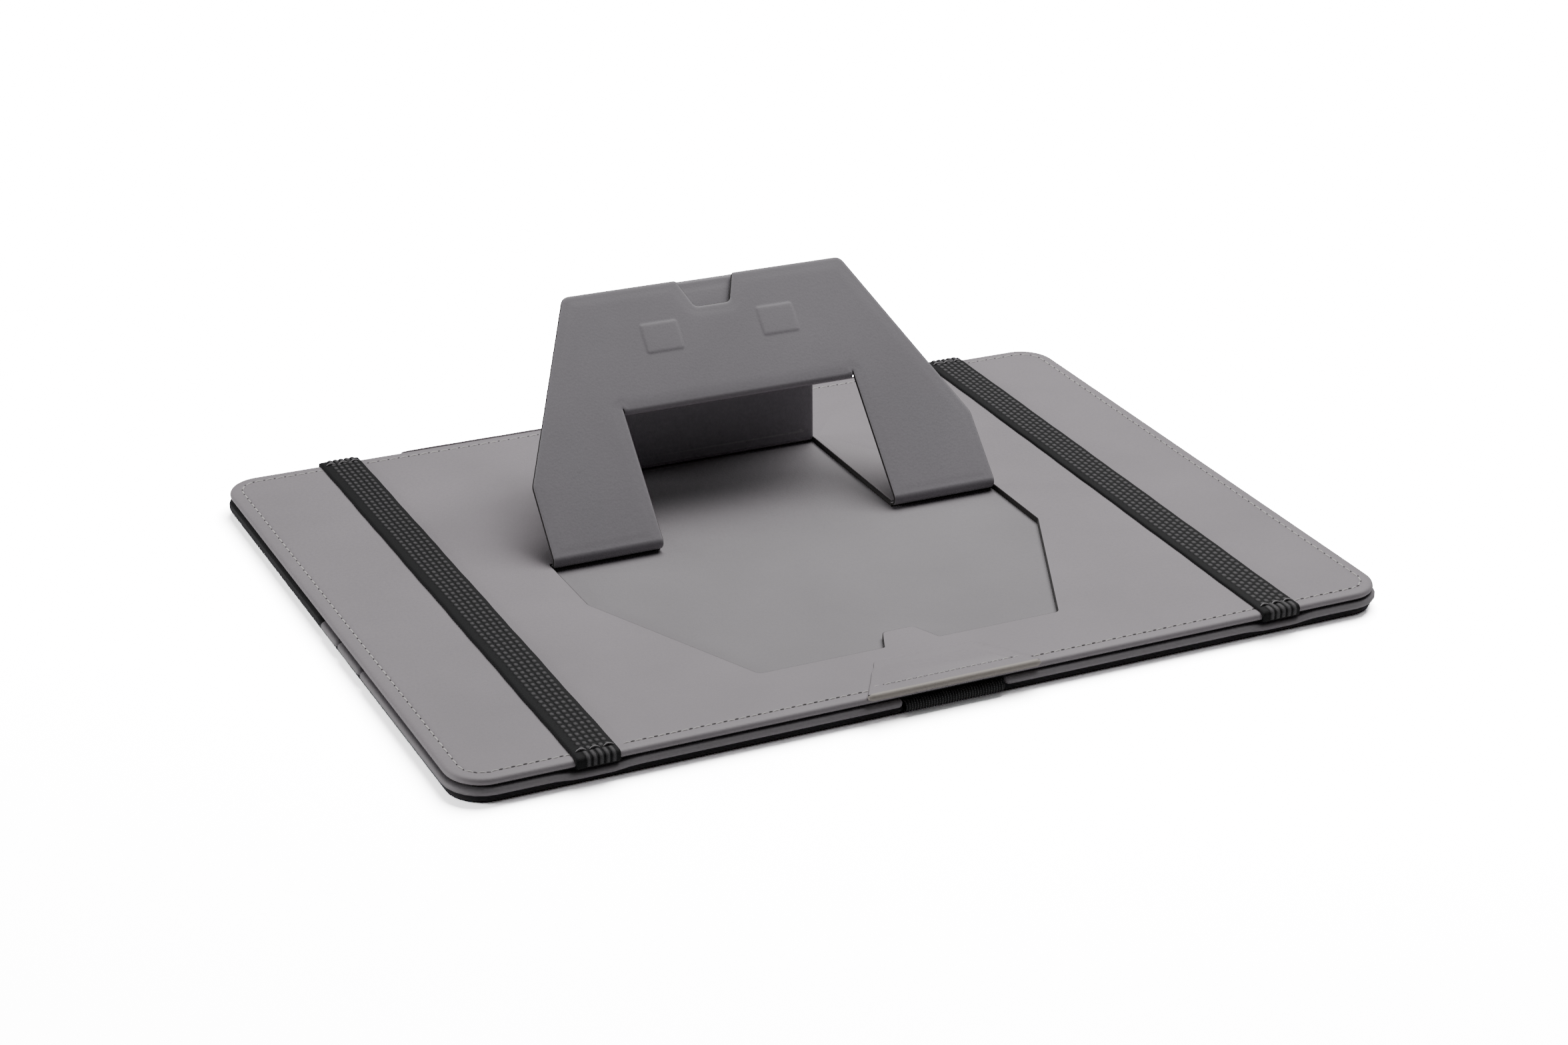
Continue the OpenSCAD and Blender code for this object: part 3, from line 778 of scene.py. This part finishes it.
def perimeter_stitches():
    bm = bmesh.new()
    line = ring(PANEL, PANEL_R, SEAM_IN, 10, 2.0)
    for p, d in along(line, 3.95):
        if any(abs(p.x - band_middle(k, p.y)) < BAND_W / 2 + 0.6 for k in (-1, 1)):
            continue
        on_patch = p.y < 12 and abs(p.x) < 28.6
        z = 1.12 if on_patch else -0.12
        wobble = 0.05 * math.sin(p.x * 1.7 + p.y * 2.3)
        skew = Vector((d.x - d.y * 0.06, d.y + d.x * 0.06))
        stitch(bm, p.x, p.y + wobble, z, skew, length=2.6 if p.y < 6 else 3.05,
               width=0.24 if on_patch else 0.28)
        q = p + d * 1.97
        if q.y < 12 and 28 < abs(q.x) < 30.5:
            continue
        near = q.y < 6
        hole(bm, q.x, q.y, 1.19 if on_patch else z + 0.10, d, 0.75 if near else 0.4, 0.3 if near else 0.24)
    return finish_mesh("perimeter_stitches", bm, [THREAD, HOLE_SHADE])


seam = perimeter_stitches()
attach(seam, "stand_panel")
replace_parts(seam, "perimeter_seam")


# ---------------------------------------------------------------- elastic bands
def band_path():
    """The outside of a band round the panel, as (y, z, outward y, outward z, nubs shown)."""
    y0, y1, z0, z1 = -1.1, DEPTH + 1.1, -3.15, 0.95
    r_top, r_low = 1.5, 1.1
    pts = []
    rows = round((DEPTH - 0.8) / (3.1 / 8))
    for i in range(rows + 1):
        pts.append((y0 + r_top + (y1 - y0 - 2 * r_top) * i / rows, z1, 0, 1, 1))
    for k in range(1, 7):
        a = math.pi / 2 - k / 7 * math.pi / 2
        pts.append((y1 - r_top + r_top * math.cos(a), z1 - r_top + r_top * math.sin(a),
                    math.cos(a), math.sin(a), 1))
    for k in range(5):
        pts.append((y1, z1 - r_top + (z0 + r_low - z1 + r_top) * k / 4, 1, 0, 1))
    for k in range(1, 5):
        a = -k / 5 * math.pi / 2
        pts.append((y1 - r_low + r_low * math.cos(a), z0 + r_low + r_low * math.sin(a),
                    math.cos(a), math.sin(a), 0))
    for k in range(61):
        pts.append((y1 - r_low - (y1 - y0 - 2 * r_low) * k / 60, z0, 0, -1, 0))
    for k in range(1, 5):
        a = -math.pi / 2 - k / 5 * math.pi / 2
        pts.append((y0 + r_low + r_low * math.cos(a), z0 + r_low + r_low * math.sin(a),
                    math.cos(a), math.sin(a), 0))
    for k in range(5):
        pts.append((y0, z0 + r_low + (z1 - r_top - z0 - r_low) * k / 4, -1, 0, 1))
    for k in range(1, 7):
        a = math.pi - k / 7 * math.pi / 2
        pts.append((y0 + r_top + r_top * math.cos(a), z1 - r_top + r_top * math.sin(a),
                    math.cos(a), math.sin(a), 1))
    return pts


def build_band(name, side):
    bm = bmesh.new()
    path = band_path()
    n = len(path)
    run = [0.0]
    for a, c in zip(path, path[1:]):
        run.append(run[-1] + math.hypot(c[0] - a[0], c[1] - a[1]))
    sub = 8
    left, pitch_x = (3.0, 2.12) if side < 0 else (2.4, 2.25)
    cols = [-7.5, -7.42, -7.2, -6.5, -5.8, -5.1]
    cols += [-7.5 + left + pitch_x * k / sub for k in range(5 * sub + 1)]
    cols = sorted(cols) + [6.95, 7.25, 7.42, 7.5]
    drop = [1.0, 0.45, 0.12] + [0] * (len(cols) - 6) + [0.12, 0.45, 1.0]
    nub_layer = bm.verts.layers.float.new("nub")
    grid = []
    for i, (y, z, ny, nz, shown) in enumerate(path):
        # the flat runs as rows of nubs, which draw out into upright ribs over each end
        v = run[i] / 2.95
        at_end = shown and (y < 2.6 or y > DEPTH - 2.6)
        line = []
        for c, x in enumerate(cols):
            u = (x + 7.5 - left) / pitch_x
            h = 0.0
            if shown and 0 < u < 5:
                across = math.sin(math.pi * (u % 1.0))
                step = 0.5 * (int(u) % 2) if side > 0 else 0.08 * math.sin(2.1 * int(u))
                down = 0.9 if at_end else max(0.0, math.sin(math.pi * ((v + step) % 1.0)))
                h = max(0.0, across * down - 0.15) ** (0.7 if side < 0 else 0.55)
            elif shown:
                h = 0.12 * (0.5 + 0.5 * math.cos(run[i] * 4.1 + x * 5))
            lift = (0.55 if at_end else 0.42) * h - drop[c] * 0.8
            wave = 0.07 * math.sin(y * 0.13 + side) + 0.04 * math.sin(y * 0.41)
            vert = bm.verts.new((x + band_middle(side, y) + wave, y + ny * lift, z + nz * lift))
            vert[nub_layer] = h
            line.append(vert)
        grid.append(line)
    for i in range(n):
        a, c = grid[i], grid[(i + 1) % n]
        for k in range(len(cols) - 1):
            f = bm.faces.new((a[k], a[k + 1], c[k + 1], c[k]))
            f.smooth = True
    return finish_mesh(name, bm, [ELASTIC], sharp=85)


for name, side in (("left", -1), ("right", 1)):
    band = build_band("band_weave_" + name, side)
    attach(band, "stand_panel")
    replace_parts(band, "band_" + name)


def band_stitches():
    bm = bmesh.new()
    for side in (-1, 1):
        for y in (SEAM_IN - 1.0, DEPTH - SEAM_IN + 1.0):
            for k in range(3):
                x = band_middle(side, y) - 4.3 + 4.6 * k
                path = []
                for m in range(9):
                    t = m / 4 - 1
                    arch = 1 - t * t
                    path.append(Vector((x + 1.7 * t, y + 0.55 * arch - 0.3, 1.22 + 0.3 * arch)))
                tube_along(bm, path, lambda u: 0.12 + 0.20 * math.sin(math.pi * u), sides=7)
    return finish_mesh("band_stitches", bm, [BAND_THREAD])


tack = band_stitches()
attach(tack, "stand_panel")
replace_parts(tack, "band_seams")

# ---------------------------------------------------------------- lower panel
SKIN_TOP = (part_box("lower_skin")[1].z * 1000) - TOP_Z
LINING_TOP = (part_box("lower_lining")[1].z * 1000) - TOP_Z
POCKET_TOP = (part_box("pocket_small")[1].z * 1000) - TOP_Z
NOTCH = 18.5


def dip(x, y):
    """The lower panel's rim gives way under each band's wrap."""
    near = math.exp(-(max(0.0, abs(abs(x) - BAND_X) - 5.5) / 5.0) ** 2)
    return near * (1 - smooth_step(y / 14)) + near * (1 - smooth_step((DEPTH - y) / 14))


under = slab("under_cover", PANEL, PANEL_R,
             [(3.4, SKIN_TOP, 0), (2.0, SKIN_TOP, 0), (1.1, SKIN_TOP + 0.02, 0),
              (0.75, SKIN_TOP - 0.1, 0), (0.75, TABLE + 0.55, 0), (1.0, TABLE + 0.25, 0),
              (1.5, TABLE + 0.05, 0), (2.2, TABLE, 0), (3.4, TABLE, 0)], [DARK], steps=8, pitch=4.0)
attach(under, "pocket_panel")
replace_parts(under, "lower_skin")

notched = [(-HALF_W, 0), (-NOTCH, 0), (-NOTCH, 8), (NOTCH, 8), (NOTCH, 0), (HALF_W, 0),
           (HALF_W, DEPTH), (-HALF_W, DEPTH)]
notched_r = [CORNER, 0.4, 0.4, 0.4, 0.4, CORNER, CORNER, CORNER]


def rim_bead_in_gap_shade(x, y, z):
    """Beyond the pockets the black lining swells into a rim that fills the gap below the cover: partly its
    wrap round the board, partly a dark bead put where that gap is in shade.
    """
    inside = min(HALF_W - abs(x), DEPTH - y)
    room = math.exp(-(max(0.0, abs(abs(x) - BAND_X) - 7.5) / 3) ** 2)
    swell = (2.3 - 0.7 * room) * smooth_step((y - 125) / 3) * (1 - smooth_step((inside - 1.8) / 2.4))
    up = swell * smooth_step((z - LINING_TOP + 2.0) / 1.4)
    out = 0.7 * smooth_step((y - 125) / 3) * (1 - smooth_step(inside / 2))
    out *= smooth_step((z - SKIN_TOP - 0.3) / 0.8)
    if HALF_W - abs(x) < 2:
        x += math.copysign(out, x)
    elif abs(x) < 106:
        y = min(y, DEPTH - 0.3)
    return Vector((x, y, z + up))


lining = slab("lining_cover", notched, notched_r,
              [(5.2, LINING_TOP, 0), (3.6, LINING_TOP, 0), (2.4, LINING_TOP, 0), (1.3, LINING_TOP, 0),
               (0.6, LINING_TOP - 0.12, 0), (0.25, LINING_TOP - 0.45, 0), (0.1, LINING_TOP - 0.9, 0),
               (0.15, LINING_TOP - 1.4, 0), (0.4, SKIN_TOP + 0.5, 0), (0.8, SKIN_TOP + 0.15, 0),
               (1.6, SKIN_TOP + 0.06, 0), (5.2, SKIN_TOP + 0.06, 0)],
              [LINING], steps=7, pitch=3.0, shift=rim_bead_in_gap_shade)
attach(lining, "pocket_panel")
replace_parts(lining, "lower_lining", "lower_board")


def pocket(name, node_name, y0, y1, rise):
    """One grey pocket leaf, rolled over the panel's edge like piping."""
    top = POCKET_TOP + rise + 0.15
    roll = 1.35
    swell = roll - 0.3
    y_end = y1 - swell
    if y0 < 1:
        pts = [(-HALF_W, 0), (-NOTCH - 1.3, 0), (-NOTCH - 1.3, 9), (NOTCH + 1.3, 9), (NOTCH + 1.3, 0),
               (HALF_W, 0), (HALF_W, y_end), (-HALF_W, y_end)]
        rad = [CORNER, 0.8, 0.3, 0.3, 0.8, CORNER, 0.8, 0.8]
    else:
        pts = [(-HALF_W, y0 + swell), (HALF_W, y0 + swell), (HALF_W, y_end), (-HALF_W, y_end)]
        rad = [0.8] * 4
    base = LINING_TOP + 0.01
    prof = [(3.4, top, 0), (1.8, top, 0)]
    for k in range(11):
        angle = math.pi * (0.5 - k / 10)
        prof.append((0.3 - roll * math.cos(angle), top - roll * (1 - math.sin(angle)), 0))
    prof += [(0.45, top - 2 * roll, 0), (0.5, base, 0), (3.4, base, 0)]

    def settle(x, y, z):
        side = min(HALF_W - abs(x), y)
        if side > 1.3 and z < base:
            z = base
        return Vector((x, y, z - 0.9 * dip(x, y) * smooth_step((z - base + 1.5) / 2)))

    obj = slab(name, pts, rad, prof, [POCKET], steps=6, pitch=3.0, shift=settle)
    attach(obj, "pocket_panel")
    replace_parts(obj, node_name)
    return obj


pocket("pocket_leaf_small", "pocket_small", 0, 87, 0.25)
pocket("pocket_leaf_middle", "pocket_middle", 87.9, 109, 0.15)
pocket("pocket_leaf_large", "pocket_large", 109.9, 126, 0.05)


def build_loop():
    """Pen loop: ribbed elastic that turns round the near edge of the lower panel."""
    bm = bmesh.new()
    nub_layer = bm.verts.layers.float.new("nub")
    lo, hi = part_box("pen_loop")
    half = hi.x * 1000
    mid = (lo.z + hi.z) * 500 - TOP_Z
    reach = lo.y * 1000 - NEAR_Y
    back = hi.y * 1000 - NEAR_Y
    r = (hi.z - lo.z) * 500
    bend_y = reach + r
    outer = [(back, mid + r + 0.25), (5.5, mid + r + 0.3), (3.5, mid + r + 0.25), (2.0, mid + r + 0.15)]
    outer += [(bend_y + r * math.cos(a), mid + (r + 0.1) * math.sin(a))
              for a in [math.pi / 2 + math.pi * k / 18 for k in range(19)]]
    outer += [(2.0, mid - r), (4.0, mid - r), (back, mid - r)]
    thick = 0.8
    count = len(outer)
    inner = []
    for i in range(count):
        a, c = Vector(outer[max(i - 1, 0)]), Vector(outer[min(i + 1, count - 1)])
        d = (c - a).normalized()
        inner.append(Vector(outer[i]) + Vector((-d.y, d.x)) * thick)
    cols = [-half + 2 * half * k / 144 for k in range(145)]
    rows = []
    for i in range(count):
        p, q = Vector(outer[i]), inner[i]
        out = (p - q).normalized()
        line = []
        for x in cols:
            rib = 0.5 + 0.5 * math.cos(2 * math.pi * x / 1.0)
            weave = 0.5 + 0.5 * math.cos(math.pi * i + math.pi * round(x / 1.0))
            h = rib * (0.55 + 0.45 * weave)
            side = smooth_step((half - abs(x)) / 0.6)
            e = p + out * (0.16 * h - 0.3 * (1 - side))
            v = bm.verts.new((x, e.x, e.y))
            v[nub_layer] = h
            line.append(v)
        rows.append(line)
    back_rows = [[bm.verts.new((x, q.x, q.y)) for x in (cols[0], cols[-1])] for q in inner]
    for i in range(count - 1):
        for k in range(len(cols) - 1):
            f = bm.faces.new((rows[i][k], rows[i][k + 1], rows[i + 1][k + 1], rows[i + 1][k]))
            f.smooth = True
        bm.faces.new((back_rows[i][0], back_rows[i][1], back_rows[i + 1][1], back_rows[i + 1][0]))
        bm.faces.new((rows[i][0], rows[i + 1][0], back_rows[i + 1][0], back_rows[i][0]))
        bm.faces.new((rows[i][-1], rows[i + 1][-1], back_rows[i + 1][1], back_rows[i][1]))
    return finish_mesh("pen_loop_weave", bm, [LOOP], sharp=70)


loop_obj = build_loop()
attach(loop_obj, "pocket_panel")
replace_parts(loop_obj, "pen_loop")

# ---------------------------------------------------------------- spine
HINGE_R, HINGE_T, SPINE_X = 1.2, 0.8, 101


def spine_strip(name, path, x_half, body_a, body_b=None):
    """Leather strip along the far edge, from side-view points (y, z), with rounded long edges."""
    bm = bmesh.new()
    count = len(path)
    cols = [-x_half + 2 * x_half * k / 80 for k in range(81)]
    faces = []
    for sign in (1, -1):
        rows = []
        for i in range(count):
            a, c = Vector(path[max(i - 1, 0)]), Vector(path[min(i + 1, count - 1)])
            d = (c - a).normalized()
            out = Vector((d.y, -d.x))
            line = []
            for x in cols:
                soft = smooth_step((x_half - abs(x)) / 1.5)
                ripple = 0.03 * math.sin(x * 0.35 + i)
                p = Vector(path[i]) + out * sign * (HINGE_T / 2) * (0.5 + 0.5 * soft) + out * ripple
                line.append(bm.verts.new((x, p.x, p.y)))
            rows.append(line)
        faces.append(rows)
    for rows in faces:
        for i in range(count - 1):
            for k in range(len(cols) - 1):
                bm.faces.new((rows[i][k], rows[i][k + 1], rows[i + 1][k + 1], rows[i + 1][k])).smooth = True
    a, c = faces
    for i in (0, count - 1):
        for k in range(len(cols) - 1):
            bm.faces.new((a[i][k], a[i][k + 1], c[i][k + 1], c[i][k]))
    for i in range(count - 1):
        for k in (0, len(cols) - 1):
            bm.faces.new((a[i][k], a[i + 1][k], c[i + 1][k], c[i][k]))
    obj = finish_mesh(name, bm, [GREY])
    if body_b:
        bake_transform(obj)
    else:
        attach(obj, body_a)
    return obj


S_LOW = TABLE + HINGE_R + HINGE_T / 2
S_HIGH = -(HINGE_R + HINGE_T / 2)
arc_low = [(DEPTH + HINGE_R * math.cos(t), S_LOW + HINGE_R * math.sin(t))
           for t in [-math.pi / 2 * (1 - k / 10) for k in range(11)]]
arc_high = [(DEPTH + HINGE_R * math.cos(t), S_HIGH + HINGE_R * math.sin(t))
            for t in [math.pi / 2 * k / 10 for k in range(11)]]
middle = [(DEPTH + HINGE_R, S_LOW + (S_HIGH - S_LOW) * k / 8) for k in range(9)]
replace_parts(spine_strip("hinge_leather_low", arc_low, SPINE_X, "pocket_panel", "spine"), "lower_hinge")
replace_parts(spine_strip("spine_cover", middle, SPINE_X, "spine"), "spine_leather")
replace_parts(spine_strip("hinge_leather_high", arc_high, SPINE_X, "spine", "stand_panel"), "upper_hinge")

# ---------------------------------------------------------------- CAD nodes that stay
for name, mat in (("top_board", CUT_EDGE_AND_SHADE), ("recess_floor", FLOOR_SKIN), ("top_lining", LINING),
                  ("spine_board", BOARD)):
    obj = frame["nodes"][name]
    obj.data.materials.clear()
    obj.data.materials.append(mat)

# ---------------------------------------------------------------- floor, light and camera
floor_mesh = bpy.data.meshes.new("floor")
fb = bmesh.new()
bmesh.ops.create_grid(fb, x_segments=1, y_segments=1, size=6)
fb.to_mesh(floor_mesh)
fb.free()
floor = bpy.data.objects.new("floor", floor_mesh)
floor.location.z = -0.0002
bpy.context.scene.collection.objects.link(floor)
fm, fn, fl, fbsdf = material("floor_white")
fbsdf.inputs["Base Color"].default_value = (0.85, 0.85, 0.86, 1)
fbsdf.inputs["Roughness"].default_value = 0.9
# the camera sees the floor brighter than it lights the case, as a lit white background
bright = node(fn, "ShaderNodeBsdfDiffuse")
bright.inputs["Color"].default_value = (18.0, 18.0, 18.1, 1)
seen = node(fn, "ShaderNodeLightPath")
pick = node(fn, "ShaderNodeMixShader")
fl.new(seen.outputs["Is Camera Ray"], pick.inputs[0])
fl.new(fbsdf.outputs[0], pick.inputs[1])
fl.new(bright.outputs[0], pick.inputs[2])
fl.new(pick.outputs[0], fn["Material Output"].inputs["Surface"])
floor_mesh.materials.append(fm)

world = bpy.data.worlds.new("studio")
bpy.context.scene.world = world
world.use_nodes = True
world.node_tree.nodes["Background"].inputs["Color"].default_value = (1, 1, 1, 1)
world.node_tree.nodes["Background"].inputs["Strength"].default_value = 0.02


def soft_light(name, at, look, size, power):
    data = bpy.data.lights.new(name, "AREA")
    data.shape = "RECTANGLE"
    data.size, data.size_y = size
    data.energy = power
    obj = bpy.data.objects.new(name, data)
    obj.location = at
    obj.rotation_euler = (Vector(look) - Vector(at)).to_track_quat("-Z", "Y").to_euler()
    bpy.context.scene.collection.objects.link(obj)


soft_light("overhead", (0.48, 0.40, 1.2), (0, 0, 0), (1.15, 1.05), 23.6)
soft_light("left_fill", (-1.5, 0.42, 0.26), (0, 0, 0.02), (0.6, 0.4), 9.5)

# camera: bearing from +Y towards +X, tilt below the horizon, roll, and place, of a 72 mm lens
YAW, PITCH, ROLL = 0.46905, 0.43837, 0.02827
EYE = place(-450.97, -765.27, 469.64)
ahead = Vector((math.sin(YAW) * math.cos(PITCH), math.cos(YAW) * math.cos(PITCH), -math.sin(PITCH)))
right = Vector((math.cos(YAW), -math.sin(YAW), 0))
above = right.cross(ahead)
cam_x = math.cos(ROLL) * right + math.sin(ROLL) * above
cam_y = -math.sin(ROLL) * right + math.cos(ROLL) * above
cam_data = bpy.data.cameras.new("camera")
cam_data.sensor_width = 36
cam_data.lens = 71.645
camera = bpy.data.objects.new("camera", cam_data)
turn = Matrix((cam_x, cam_y, -ahead)).transposed()
camera.matrix_world = Matrix.Translation(EYE) @ turn.to_4x4()
bpy.context.scene.collection.objects.link(camera)
bpy.context.scene.camera = camera
